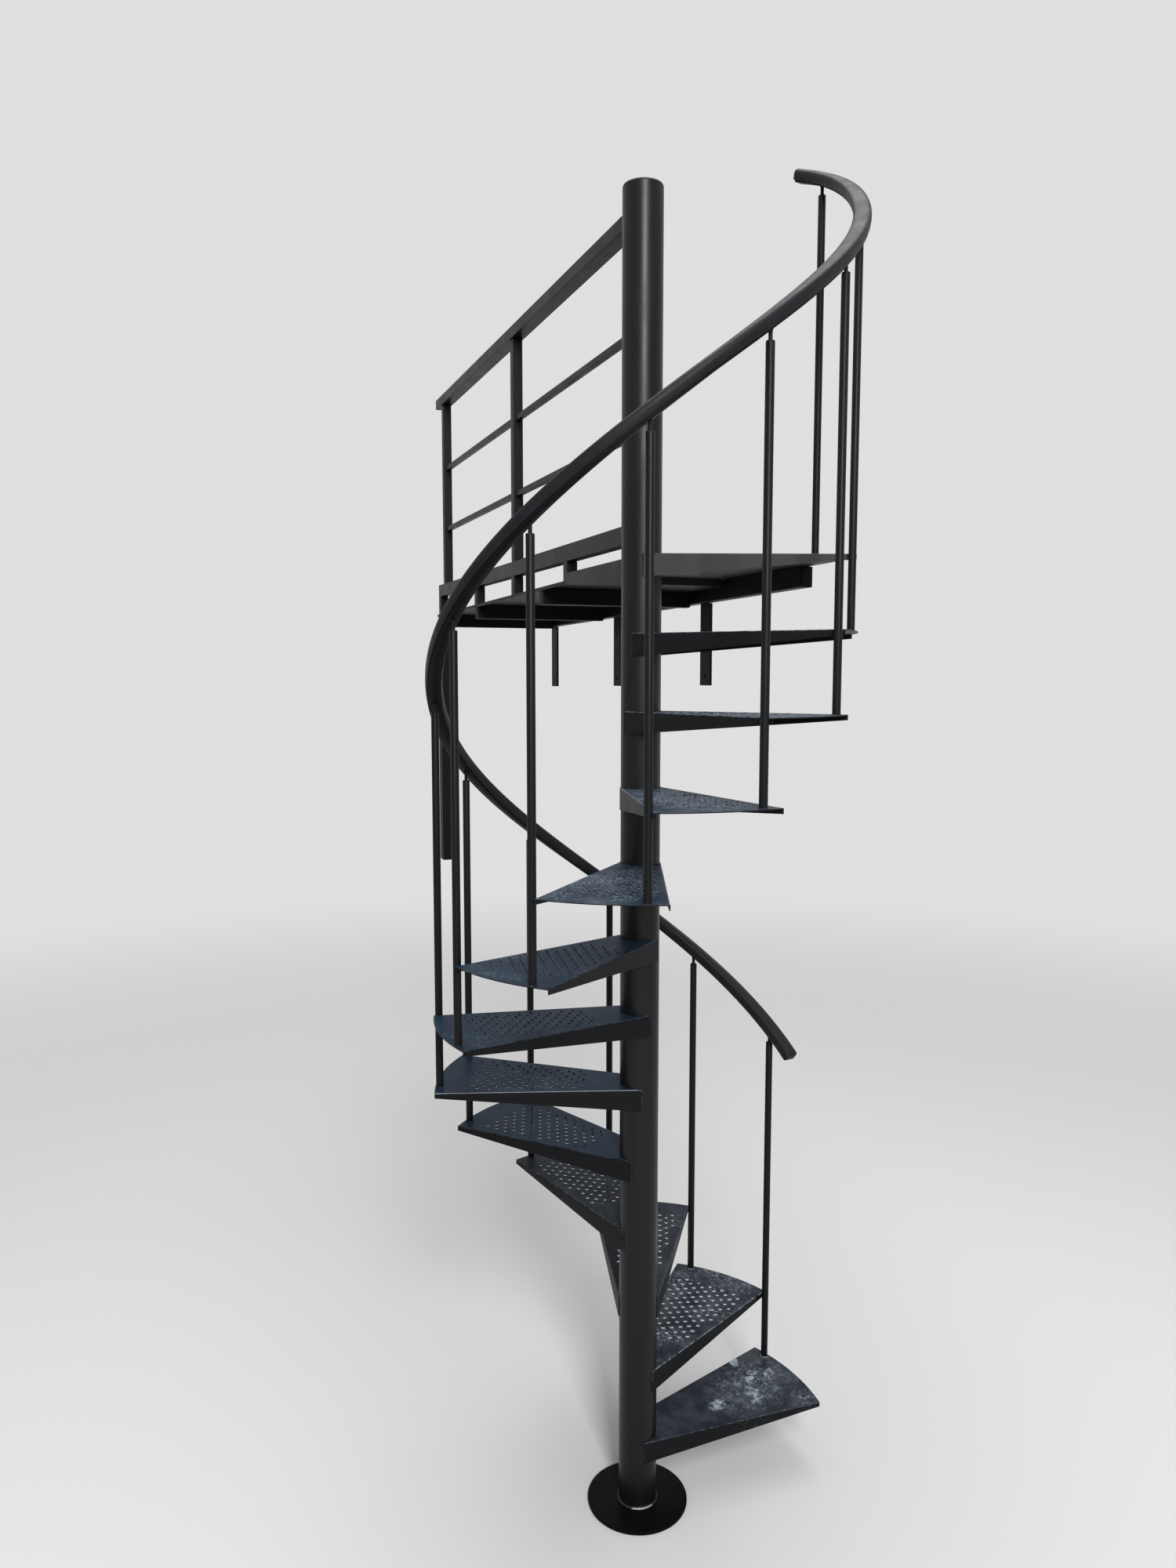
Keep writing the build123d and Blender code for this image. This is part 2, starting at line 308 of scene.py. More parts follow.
# Shared effects
def powder_coat_group():
    """Fine orange peel of a powder coat: a height for bump and a change of roughness"""
    inputs = [("Grain size", 1.6 * MM), ("Unevenness", 0.5)]
    group, entry, out = new_group("powder coat", inputs, ["Height", "Gloss change"])
    scale = maths(group, "DIVIDE", 1.0, entry.outputs["Grain size"])
    fine = noise_of(group, scale, detail=2.0)
    broad = noise_of(group, 9.0, detail=4.0, roughness=0.6)
    spread = maths(group, "SUBTRACT", broad, 0.5)
    group.links.new(fine, out.inputs["Height"])
    group.links.new(times(group, spread, entry.outputs["Unevenness"]), out.inputs["Gloss change"])
    return group


def settled_dust_group():
    """Dust on faces that look up, in patches"""
    group, entry, out = new_group("settled dust", [("Amount", 0.3), ("Patch size", 0.08)], ["Mask"])
    upward = upward_mask(group, 0.55, 0.98)
    scale = maths(group, "DIVIDE", 1.0, entry.outputs["Patch size"])
    patches = noise_of(group, scale, detail=6.0, roughness=0.65)
    grit = noise_of(group, 420.0, detail=2.0)
    soft = ramp(group, patches, 0.35, 0.75)
    mottled = times(group, soft, ramp(group, grit, 0.3, 0.7, 0.6, 1.0))
    mask = times(group, times(group, upward, mottled), entry.outputs["Amount"], clamp=True)
    group.links.new(mask, out.inputs["Mask"])
    return group


def scuff_group():
    """Smears and dragged marks of pale plaster on faces that look up"""
    group, entry, out = new_group("scuffs", [("Amount", 0.6), ("Coverage", 0.5)], ["Mask"])
    upward = upward_mask(group, 0.8, 0.99)
    places = noise_of(group, 7.0, detail=3.0, roughness=0.55)
    spots = noise_of(group, 105.0, detail=5.0, roughness=0.7, stretch=(1.0, 0.55, 1.0))
    specks = noise_of(group, 240.0, detail=3.0, roughness=0.7)
    threshold = maths(group, "SUBTRACT", 0.78, times(group, entry.outputs["Coverage"], 0.3))
    near = times(group, maths(group, "SUBTRACT", places, threshold), 6.0, clamp=True)
    smear = times(group, near, ramp(group, spots, 0.42, 0.72))
    specked = times(group, smear, ramp(group, specks, 0.36, 0.62, 0.15, 1.0))
    faint = times(group, ramp(group, spots, 0.5, 0.8, 0.0, 0.25), ramp(group, places, 0.35, 0.6))
    total = plus(group, specked, faint, clamp=True)
    mask = times(group, times(group, total, upward), entry.outputs["Amount"], clamp=True)
    group.links.new(mask, out.inputs["Mask"])
    return group


def new_material(name):
    material = bpy.data.materials.new(name)
    material.use_nodes = True
    tree = material.node_tree
    tree.nodes.clear()
    output = add_node(tree, "ShaderNodeOutputMaterial")
    shader = add_node(tree, "ShaderNodeBsdfPrincipled")
    tree.links.new(shader.outputs["BSDF"], output.inputs["Surface"])
    return material, tree, shader


def bump_into(tree, shader, height, distance, strength=1.0):
    bump = set_inputs(add_node(tree, "ShaderNodeBump"), Distance=distance, Strength=strength)
    tree.links.new(height, bump.inputs["Height"])
    tree.links.new(bump.outputs["Normal"], shader.inputs["Normal"])


def wear_and_highlight_masks(tree, amount):
    """Where feet rub, from the mesh's own wear and highlight values: all of it, and the patches that went pale,
    which partly stand in for highlights, plus a painted highlight where a value passes 1
    """
    worn_and_highlighted = add_node(tree, "ShaderNodeAttribute", attribute_name="wear_and_highlight")
    patches = noise_of(tree, 55.0, detail=5.0, roughness=0.65)
    broken = times(tree, worn_and_highlighted.outputs["Fac"], ramp(tree, patches, 0.38, 0.62))
    pale = times(tree, broken, amount, clamp=True)
    painted_highlight = maths(tree, "SUBTRACT", worn_and_highlighted.outputs["Fac"], 1.0, clamp=True)
    return worn_and_highlighted.outputs["Fac"], plus(tree, pale, painted_highlight, clamp=True)


# The coat of the column and its plate, darkened as painted shade, and the grip's clouds, as shares of their
# colours
PAINTED_SHADE_SHARE = 0.55
CLOUD_SHARE = 1.35

# How much duller dust and plaster make a coat, and how much glossier feet rub it
DUST_DULLS = 0.5
PLASTER_DULLS = 0.3
FEET_POLISH = 0.28
LEAST_ROUGHNESS = 0.12


def coated_steel(
        name, groups, colour, rough, dust, scuff=0.0, coverage=0.5, specular=0.09, smears=(), wear_and_highlight=0.0,
        side=None):
    """Black powder coated steel with its orange peel, dust and scuffs; side is the colour of upright faces"""
    material, tree, shader = new_material(name)
    look = finish_of()
    peel = use_group(tree, groups["coat"], Grain_size=1.8 * MM, Unevenness=0.22)
    set_inputs(shader, Specular_IOR_Level=specular)
    # Faces that look up take the given colour and upright faces the side colour; on the treads, the landing and
    # the deck, the upper colour holds a painted reflection of the sky
    base = colour_mix(tree, upward_mask(tree, 0.8, 0.98), side or look.coat, colour)
    rough = plus(tree, peel.outputs["Gloss change"], rough)
    settled = use_group(tree, groups["dust"], Amount=dust, Patch_size=0.09)
    marks = [(settled.outputs["Mask"], DUST_DULLS)]
    if scuff:
        dragged = use_group(tree, groups["scuff"], Amount=scuff, Coverage=coverage)
        marks.append((dragged.outputs["Mask"], PLASTER_DULLS))
    if smears:
        marks.append((smear_mask(tree, smears), PLASTER_DULLS))
    for mask, duller in marks:
        base = colour_mix(tree, mask, base, look.dust)
        rough = plus(tree, rough, times(tree, mask, duller))
    if wear_and_highlight:
        rubbed, pale = wear_and_highlight_masks(tree, wear_and_highlight)
        # Pale patches that are partly wear and partly painted highlight, and the painted highlight line, all in
        # the dust colour
        base = colour_mix(tree, pale, base, look.dust)
        rough = maths(tree, "SUBTRACT", rough, times(tree, rubbed, FEET_POLISH))
    tree.links.new(base, shader.inputs["Base Color"])
    tree.links.new(maths(tree, "MAXIMUM", rough, LEAST_ROUGHNESS, clamp=True), shader.inputs["Roughness"])
    bump_into(tree, shader, peel.outputs["Height"], 0.012 * MM)
    return material


# Plaster smears on the first tread: place, length, width, turn and strength
FIRST_TREAD_SMEARS = (
    (0.285, 0.022, 0.042, 0.028, 0.6, 4.00),
    (0.440, 0.205, 0.045, 0.020, 1.3, 5.50),
    (0.420, 0.020, 0.050, 0.030, 1.2, 1.70),
    (0.455, 0.105, 0.045, 0.030, 0.9, 1.80),
    (0.515, 0.105, 0.050, 0.022, 1.1, 1.20),
    (0.430, 0.080, 0.220, 0.150, 0.6, 0.65),
    (0.560, -0.045, 0.070, 0.050, 0.2, 0.60),
    (0.572, -0.158, 0.012, 0.009, 0.0, 3.00),
)


def smear_mask(tree, smears):
    """Places where plaster was dropped and trodden: (x, y, length, width, turn, strength) each"""
    spots = noise_of(tree, 75.0, detail=6.0, roughness=0.7)
    fine = noise_of(tree, 330.0, detail=3.0, roughness=0.7)
    broad = noise_of(tree, 26.0, detail=5.0, roughness=0.6)
    total = 0.0
    for x, y, length, width, turn, strength in smears:
        mapping = add_node(tree, "ShaderNodeMapping", vector_type="TEXTURE")
        tree.links.new(object_place(tree), mapping.inputs["Vector"])
        set_inputs(mapping, Location=(x, y, 0), Rotation=(0, 0, turn), Scale=(length, width, 10.0))
        reach = vector_maths(tree, "LENGTH", mapping.outputs["Vector"])
        total = plus(tree, ramp(tree, reach, 0.15, 1.0, strength, 0.0), total)
    spots = plus(tree, spots, times(tree, total, 0.010))
    wisps = times(tree, ramp(tree, spots, 0.49, 0.62), ramp(tree, fine, 0.40, 0.58, 0.30, 1.0))
    film = times(tree, ramp(tree, broad, 0.35, 0.65), 0.16)
    return times(tree, plus(tree, wisps, film), total, clamp=True)


def moulded_grip(groups):
    """Dark grey moulded grip with a fine matt grain and lighter clouds"""
    material, tree, shader = new_material("grip")
    look = finish_of()
    grain = noise_of(tree, 1500.0, detail=2.0)
    cloud = noise_of(tree, 14.0, detail=5.0, roughness=0.6)
    settled = use_group(tree, groups["dust"], Amount=0.04, Patch_size=0.05)
    lighter = [value * CLOUD_SHARE for value in look.grip]
    base = colour_mix(tree, ramp(tree, cloud, 0.35, 0.7), look.grip, lighter)
    base = colour_mix(tree, settled.outputs["Mask"], base, look.dust)
    tree.links.new(base, shader.inputs["Base Color"])
    tree.links.new(ramp(tree, cloud, 0.3, 0.7, 0.42, 0.56), shader.inputs["Roughness"])
    set_inputs(shader, Specular_IOR_Level=0.15)
    bump_into(tree, shader, grain, 0.02 * MM, 0.6)
    return material


def weld_metal(name, bare, highlight_side=None):
    """Weld bead, glossier than the coat and thinly painted in patches; given a highlight side, bare weld metal
    shows mostly on that side as a painted highlight
    """
    material, tree, shader = new_material(name)
    look = finish_of()
    patches = noise_of(tree, 160.0, detail=4.0, roughness=0.6)
    mask = ramp(tree, patches, 0.45, 0.62, 0.0, bare)
    if highlight_side:
        facing = vector_maths(tree, "DOT_PRODUCT", object_place(tree), (*highlight_side, 0.0))
        toward_highlight_side = ramp(tree, facing, 0.051, 0.056, 0.04, 1.0)
        mask = times(tree, ramp(tree, patches, 0.2, 0.4, 0.5, bare), toward_highlight_side)
    tree.links.new(colour_mix(tree, mask, look.coat, look.weld), shader.inputs["Base Color"])
    tree.links.new(times(tree, mask, 0.75), shader.inputs["Metallic"])
    tree.links.new(ramp(tree, patches, 0.3, 0.7, 0.22, 0.38), shader.inputs["Roughness"])
    set_inputs(shader, Specular_IOR_Level=0.15)
    bump_into(tree, shader, noise_of(tree, 700.0, detail=2.0), 0.1 * MM, 0.7)
    return material


def build_materials():
    groups = {"coat": powder_coat_group(), "dust": settled_dust_group(), "scuff": scuff_group()}
    look = finish_of()
    # tread and walked are the colours of faces that look up, with a painted reflection of the sky in them
    coat, tread, walked = look.coat, look.tread_coat_and_sky_reflection, look.walked_coat_and_sky_reflection
    # The column and the base plate take a darker copy of the coat: painted shade
    painted_shade_coat = [value * PAINTED_SHADE_SHARE for value in coat]
    coats = {
        "black": dict(colour=coat, rough=0.40, dust=0.02, specular=0.12),
        "column": dict(colour=painted_shade_coat, rough=0.38, dust=0.02, specular=0.24, side=painted_shade_coat),
        "matt black": dict(colour=coat, rough=0.50, dust=0.03, specular=0.08),
        "base plate": dict(colour=painted_shade_coat, rough=0.28, dust=0.0, specular=0.04, side=painted_shade_coat),
        # The landing's upright faces are a lighter grey than the coat: a painted reflection
        "landing": dict(
            colour=walked, rough=0.50, dust=0.08, scuff=0.3, coverage=0.30, specular=0.17,
            side=(0.024, 0.025, 0.027)),
        "deck": dict(colour=walked, rough=0.50, dust=0.08, scuff=0.3, coverage=0.30, specular=0.10),
        "tread": dict(colour=tread, rough=0.46, dust=0.035, scuff=0.42, coverage=0.65, wear_and_highlight=0.15),
        "dusty tread": dict(colour=tread, rough=0.46, dust=0.12, scuff=0.75, coverage=1.25, wear_and_highlight=0.45),
        "walked tread": dict(colour=walked, rough=0.46, dust=0.08, scuff=0.5, coverage=0.70, wear_and_highlight=0.3),
        "worn tread": dict(colour=walked, rough=0.48, dust=0.17, scuff=0.85, coverage=1.15, wear_and_highlight=0.7),
        "scuffed tread": dict(
            colour=walked, rough=0.48, dust=0.14, scuff=0.6, coverage=0.85, wear_and_highlight=0.25,
            smears=FIRST_TREAD_SMEARS),
    }
    made = {name: coated_steel(f"{name} coat", groups, **values) for name, values in coats.items()}
    made["grip"] = moulded_grip(groups)
    made["weld"] = weld_metal("weld bead", 1.0)
    made["painted weld"] = weld_metal("painted weld bead", 0.08)
    # The column's foot weld shows bare metal on the side toward the camera: a painted highlight
    made["foot weld"] = weld_metal("foot weld bead", 1.0, highlight_side=(-0.13, -0.99))
    return made


MATERIALS = {}


def material_named(name):
    if not MATERIALS:
        MATERIALS.update(build_materials())
    return MATERIALS[name]


# Meshes: small helpers
def add_object(name, data):
    made = bpy.data.objects.new(name, data)
    bpy.context.scene.collection.objects.link(made)
    return made


def finish_piece(bm, name, material, replaced=(), sharp=35.0):
    """Makes an object of a bmesh, gives it its finish and lets it ride with the stair"""
    bmesh.ops.remove_doubles(bm, verts=bm.verts, dist=1e-6)
    bmesh.ops.recalc_face_normals(bm, faces=bm.faces)
    mesh = bpy.data.meshes.new(name)
    bm.to_mesh(mesh)
    bm.free()
    mesh.shade_smooth()
    mesh.set_sharp_from_angle(angle=math.radians(sharp))
    mesh.materials.append(material_named(material))
    piece = add_object(name, mesh)
    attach(piece, "root")
    if replaced:
        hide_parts(*replaced)
    return piece


def around(radius, angle):
    return radius * math.cos(angle), radius * math.sin(angle)


def even_steps(low, high, count):
    return [low + (high - low) * i / count for i in range(count + 1)]


def circle_path(centre, radius, z, count, start=0.0, end=math.tau):
    """Points along a level arc, or all the way round without the first point again"""
    steps = count if (start, end) == (0.0, math.tau) else count - 1
    places = (around(radius, start + (end - start) * i / steps) for i in range(count))
    return [(centre[0] + x, centre[1] + y, z) for x, y in places]


def ring_of(bm, centre, radius, z, count):
    return [bm.verts.new(place) for place in circle_path(centre, radius, z, count)]


def add_ring_strip(bm, first, second, closed=True):
    count = len(first)
    for i in range(count if closed else count - 1):
        j = (i + 1) % count
        corners = list(dict.fromkeys([first[i], first[j], second[j], second[i]]))
        if len(corners) > 2:
            bm.faces.new(corners)


def join_rings(bm, rings, closed=True, capped=False):
    """Faces between rings that follow each other, and over the first and the last if capped"""
    for first, second in zip(rings, rings[1:]):
        add_ring_strip(bm, first, second, closed)
    if capped:
        bm.faces.new(rings[0])
        bm.faces.new(rings[-1])


# Straight pieces in a full turn of the round pieces
PLATE_SIDES = 128
COLUMN_SIDES = 96
BALUSTER_SIDES = 36
ANCHOR_SIDES = 24
CORNER_HOLE_SIDES = 12


def lathe(bm, profile, segments, centre=(0.0, 0.0), capped=True):
    """Turns a profile of (radius, z) points about an upright line"""
    join_rings(bm, [ring_of(bm, centre, radius, z, segments) for radius, z in profile], capped=capped)


# Weld beads: the section's sides, the ripples, the lumps, and what is left of the section at an end
BEAD_SIDES = 7
RIPPLE_SPACING = 4.5 * MM
RIPPLE_DEPTH = 0.09
LUMPS_PER_METRE = 150
LUMP_DEPTH = 0.18
END_TAPER = 0.4


def build_bead(bm, path, radius, seed, closed=True):
    """Adds a rippled bead whose rings keep their turn along the path"""
    path = [Vector(place) for place in path]
    last = len(path) - 1
    dice = random.Random(seed)
    phase = Vector((dice.random() * 10, dice.random() * 10, 0))
    rings = []
    travelled = 0.0
    for i, point in enumerate(path):
        before = path[i - 1] if closed or i > 0 else point
        after = path[(i + 1) % len(path)] if closed or i < last else point
        along = (after - before).normalized()
        across = Vector((0, 0, 1)) if abs(along.z) < 0.9 else Vector((1, 0, 0))
        side = along.cross(across).normalized()
        other = side.cross(along)
        travelled += (point - path[i - 1]).length if i else 0.0
        size = radius * (1 + RIPPLE_DEPTH * math.sin(travelled / RIPPLE_SPACING * math.tau))
        size *= 1 + LUMP_DEPTH * noise.noise(point * LUMPS_PER_METRE + phase)
        if not closed and i in (0, last):
            size *= END_TAPER
        turns = (math.tau * k / BEAD_SIDES for k in range(BEAD_SIDES))
        rings.append([bm.verts.new(point + (side * math.cos(a) + other * math.sin(a)) * size) for a in turns])
    join_rings(bm, rings + rings[:1] if closed else rings, capped=not closed)


def rounded_copy(node_name, name, material, edge, segments=3):
    """The frame's piece with its sharp edges rounded as on rolled and folded steel"""
    bm = bmesh.new()
    bm.from_mesh(NODES[node_name].data)
    bmesh.ops.remove_doubles(bm, verts=bm.verts, dist=1e-5)
    bmesh.ops.dissolve_limit(bm, angle_limit=math.radians(0.1), verts=bm.verts, edges=bm.edges)
    sharp = [e for e in bm.edges if len(e.link_faces) == 2 and e.calc_face_angle(0) > math.radians(30)]
    bmesh.ops.bevel(
        bm, geom=sharp, offset=edge, offset_type="OFFSET", segments=segments, profile=0.5,
        affect="EDGES", clamp_overlap=True,
    )
    piece = finish_piece(bm, name, material, (node_name,), sharp=30.0)
    piece.modifiers.new("even shading", "WEIGHTED_NORMAL").keep_sharp = True


# Small drilled holes near the rim of the two lowest treads, in the tread's own lines
CORNER_HOLES = {1: (0.578, -0.096), 2: (0.509, -0.101)}
CORNER_HOLE_RADIUS = 3.4 * MM

# The tread whose fold carries a painted highlight, a pale line along its upper side, from this far off the
# middle line
PAINTED_HIGHLIGHT_FOLD = 6
PAINTED_HIGHLIGHT_FROM = 20 * MM

# Treads that feet mark most; the others have the plain finish, and the dusty one from a step on
TREAD_FINISHES = {1: "scuffed tread", 2: "worn tread", 3: "walked tread", 4: "walked tread"}
DUSTY_FROM = 9

# Straight pieces in a tread's rim, side, fold and seat, and in the rounding of the column's cap
RIM_STEPS = 26
SIDE_STEPS = 6
FOLD_STEPS = 5
SEAT_STEPS = 16
CAP_STEPS = 8

# The punched field has room for no more rows and holes than these
ROWS = range(-8, 9)
PLACES_IN_ROW = range(20)


# Folded tread: outline, folded sides and punched field, in the tread's own lines
class TreadShape:
    """Outline of a tread with its middle line along +X, and the points of its fold"""

    def __init__(self):
        size = sizes()
        self.sheet = size.sheet
        self.seat = size.column_radius + size.seat_gap
        self.side_radius = self.seat + self.sheet
        self.rim = size.stair_radius
        self.half = size.tread_half_angle
        self.turn = math.acos(self.side_radius / self.rim)
        self.length = math.sqrt(self.rim**2 - self.side_radius**2)
        self.deep = size.flange_deep
        self.shallow = size.flange_shallow
        self.support = self.sheet + 1 * MM
        self.cut_edge = 0.6 * MM
        self.near = math.sqrt(self.seat**2 - (self.side_radius - self.support)**2)

    def side_ends(self, sign):
        """Foot and outer corner of a folded side: sign -1 is the leading side, +1 the trailing"""
        ends = ((self.half + self.turn, self.side_radius), (self.half, self.rim))
        return [Vector(around(1.0, sign * angle)) * radius for angle, radius in ends]

    def half_width(self, x):
        """Distance from the middle line to the side at a distance x from the axis"""
        foot, corner = self.side_ends(1)
        return foot.y + (corner.y - foot.y) * (x - foot.x) / (corner.x - foot.x)

    def side_station(self, distance, sign):
        foot, corner = self.side_ends(sign)
        depth = self.deep + (self.shallow - self.deep) * distance / self.length
        return foot + (corner - foot).normalized() * distance, -foot.normalized(), self.sheet, depth

    def stations(self):
        """Points round the outline from one foot to the other: place, inward way, fold radius and depth"""
        distances = [0.0, *even_steps(self.near, self.length, SIDE_STEPS)]
        lead = [self.side_station(distance, -1) for distance in distances]
        trail = [self.side_station(distance, 1) for distance in reversed(distances)]
        outward = [Vector(around(1.0, angle)) for angle in even_steps(-self.half, self.half, RIM_STEPS)]
        arc = [(way * self.rim, -way, self.cut_edge, self.sheet) for way in outward]
        for before, after in ((lead, arc), (arc, trail)):
            (place, inward, *rest), (next_place, next_inward, *next_rest) = before[-1], after[0]
            mitred = (inward + next_inward) / (1 + inward.dot(next_inward))
            before[-1] = (place, mitred, *rest)
            after[0] = (next_place, mitred, *next_rest)
        return lead + arc + trail

    def profile(self, fold, depth):
        """Section points as (inset, z), from the top support line round the edge to the underside"""
        t = self.sheet
        lip = min(0.5 * MM, depth - t + 0.4 * MM)
        folded = depth > t + lip
        turns = even_steps(0.0, math.pi / 2, FOLD_STEPS)
        return [
            (self.support, 0.0), *((fold * (1 - math.sin(a)), -fold * (1 - math.cos(a))) for a in turns),
            (0.0, -(depth - lip)), (lip, -depth), (t - lip, -depth), (t, -(depth - lip) if folded else -t),
            (t + 0.3 * MM, -t - 0.3 * MM if folded else -t), (self.support, -t),
        ]


def punched_places(shape, step):
    """Centres of a tread's holes in its own lines; the lowest tread is plain"""
    punch = bpy.context.scene.stair_perforation
    start = punch.row_start + (punch.second_tread_shift if step == 2 else 0.0)
    places = []
    for row in ROWS if step > 1 else ():
        y = row * punch.pitch_across
        first = start + (punch.pitch_along / 2 if row % 2 else 0.0)
        for i in PLACES_IN_ROW:
            x = first + i * punch.pitch_along
            inside = punch.field_near <= x <= punch.field_far
            if inside and abs(y) <= shape.half_width(x) - punch.side_margin:
                places.append((x, y))
    return places


def add_hole(bm, centre, shape):
    """The raised rim and the wall of a punched hole; its crest is marked for pale patches, partly rubbed wear
    and partly a painted highlight. Returns its top and bottom circles
    """
    punch = bpy.context.scene.stair_perforation
    worn_and_highlighted = bm.verts.layers.float["wear_and_highlight"]
    r, rim, up, t = punch.hole_radius, punch.rim_radius, punch.rim_height, shape.sheet
    swell, land = rim - r, 0.8 * MM
    profile = [
        (rim + land, 0.0), (rim, 0.0),
        (rim - swell * 0.45, up * 0.6), (rim - swell * 0.75, up * 0.97), (r + 0.35 * MM, up * 0.9),
        (r, up * 0.45), (r + swell * 0.35, -t * 0.6), (rim - land, -t), (rim + land, -t),
    ]
    rings = [ring_of(bm, centre, radius, z, punch.hole_sides) for radius, z in profile]
    for (_, z), ring in zip(profile, rings):
        if z > up / 2:
            for vert in ring:
                vert[worn_and_highlighted] = 1.0
    join_rings(bm, rings)
    return rings[0], rings[-1]


def add_plain_hole(bm, centre, shape):
    """A small drilled hole with no rim"""
    rings = [ring_of(bm, centre, CORNER_HOLE_RADIUS, z, CORNER_HOLE_SIDES) for z in (0.0, -shape.sheet)]
    join_rings(bm, rings)
    return rings


def loop_edges(bm, verts):
    pairs = zip(verts, [*verts[1:], verts[0]])
    return [bm.edges.get(pair) or bm.edges.new(pair) for pair in pairs]


def fill_between(bm, loops):
    """Fills the level region between an outline and the holes in it"""
    edges = [edge for loop in loops for edge in loop_edges(bm, loop)]
    bmesh.ops.triangle_fill(bm, edges=edges, use_beauty=True, normal=(0, 0, 1))


def fold_wear_and_highlight(step, number, place):
    """How much feet rub a point of a tread's section, whose points 2 to 4 are the upper part of the fold; pale
    patches there partly stand in for the fold's highlight, and a value of 2 is a painted highlight line
    """
    if number not in (2, 3, 4):
        return 0.0
    painted_highlight = step == PAINTED_HIGHLIGHT_FOLD and number < 4 and place.y > PAINTED_HIGHLIGHT_FROM
    return 2.0 if painted_highlight else 0.8


def tread_turn(step):
    """Angle of a tread's middle line about the column"""
    return baluster_angle(step) - sizes().tread_behind_baluster


def build_tread(step, material):
    """A folded plate with its seat cut to the column and its holes open"""
    shape = TreadShape()
    bm = bmesh.new()
    worn_and_highlighted = bm.verts.layers.float.new("wear_and_highlight")
    rings = []
    for place, inward, fold, depth in shape.stations():
        ring = []
        for number, (inset, z) in enumerate(shape.profile(fold, depth)):
            point = place + inward * inset
            if point.length < shape.seat:
                point = point.normalized() * shape.seat
            ring.append(bm.verts.new((*point, z)))
            ring[-1][worn_and_highlighted] = fold_wear_and_highlight(step, number, place)
        rings.append(ring)
    join_rings(bm, rings, closed=False, capped=True)
    start = math.atan2(rings[-2][0].co.y, rings[-2][0].co.x)
    turns = (start - 2 * start * i / SEAT_STEPS for i in range(1, SEAT_STEPS))
    seat = [[bm.verts.new((*around(shape.seat, turn), z)) for z in (0.0, -shape.sheet)] for turn in turns]
    wall = (rings[-1], rings[-2], *seat, rings[1], rings[0])
    add_ring_strip(bm, [ring[0] for ring in wall], [ring[-1] for ring in wall], closed=False)
    holes = [add_hole(bm, centre, shape) for centre in punched_places(shape, step)]
    if step in CORNER_HOLES:
        holes.append(add_plain_hole(bm, CORNER_HOLES[step], shape))
    outlines = [merge_neighbours(bm, [ring[level] for ring in rings[1:-1] + seat]) for level in (0, -1)]
    for level, outline in zip((0, -1), outlines):
        fill_between(bm, [outline, *(hole[level] for hole in holes)])
    bmesh.ops.dissolve_degenerate(bm, dist=1e-7, edges=bm.edges)
    place = Matrix.Translation((0, 0, sizes().riser * step)) @ Matrix.Rotation(tread_turn(step), 4, "Z")
    bmesh.ops.transform(bm, matrix=place, verts=bm.verts)
    name = f"tread_{step:02d}"
    finish_piece(bm, f"{name}_plate", material, (name,), sharp=40.0)


def merge_neighbours(bm, outline):
    """The outline with each pair of vertices at one place joined into one"""
    kept = []
    for vert in outline:
        if kept and (kept[-1].co - vert.co).length < 1e-6:
            bmesh.ops.pointmerge(bm, verts=[kept[-1], vert], merge_co=kept[-1].co.copy())
            if not kept[-1].is_valid:
                kept[-1] = vert
        else:
            kept.append(vert)
    return kept


# Straight pieces along the flat bar, the grip and its rounded end, and round half of its back
BAR_STEPS = 400
GRIP_STEPS = 420
END_STEPS = 6
BACK_STEPS = 12

# The grip's back: powers that square its round section, and how far it turns in under its widest line
UPPER_POWER = 0.72
LOWER_POWER = 0.62
WIDTH_POWER = 0.78
UNDERCUT = math.radians(20)


# The rail's line
def rail_point(step):
    """Middle of the flat bar's underside at a step, whole or not"""
    rail = bpy.context.scene.stair_rail
    whole = min(max(math.floor(step), 1), TREAD_COUNT)
    first = baluster_angle(1)
    per_step = (baluster_angle(2) - first) % math.tau
    radius = centre_of(f"baluster_{whole:02d}").xy.length
    drop = rail.settle_drop * max(step - rail.settle_start, 0.0)**2
    return Vector((*around(radius, first + (step - 1) * per_step), sizes().riser * step + rail.rise - drop))


def rail_ring(bm, step, outline):
    """The outline of a section, (inward, up) from the rail's line, set square to it"""
    along = (rail_point(step + 0.02) - rail_point(step - 0.02)).normalized()
    inward = Vector((-along.y, along.x, 0)).normalized()
    centre, up = rail_point(step), along.cross(inward)
    return [bm.verts.new(centre + inward * x + up * z) for x, z in outline]


# Seat welds: steps up the upright bead, points along the level one, and their angles from a side's foot
UPRIGHT_STEPS = 28
LEVEL_POINTS = 30
UPRIGHT_PAST_FOOT = 0.03
LEVEL_BACK_FROM_FOOT = (0.02, 0.55)


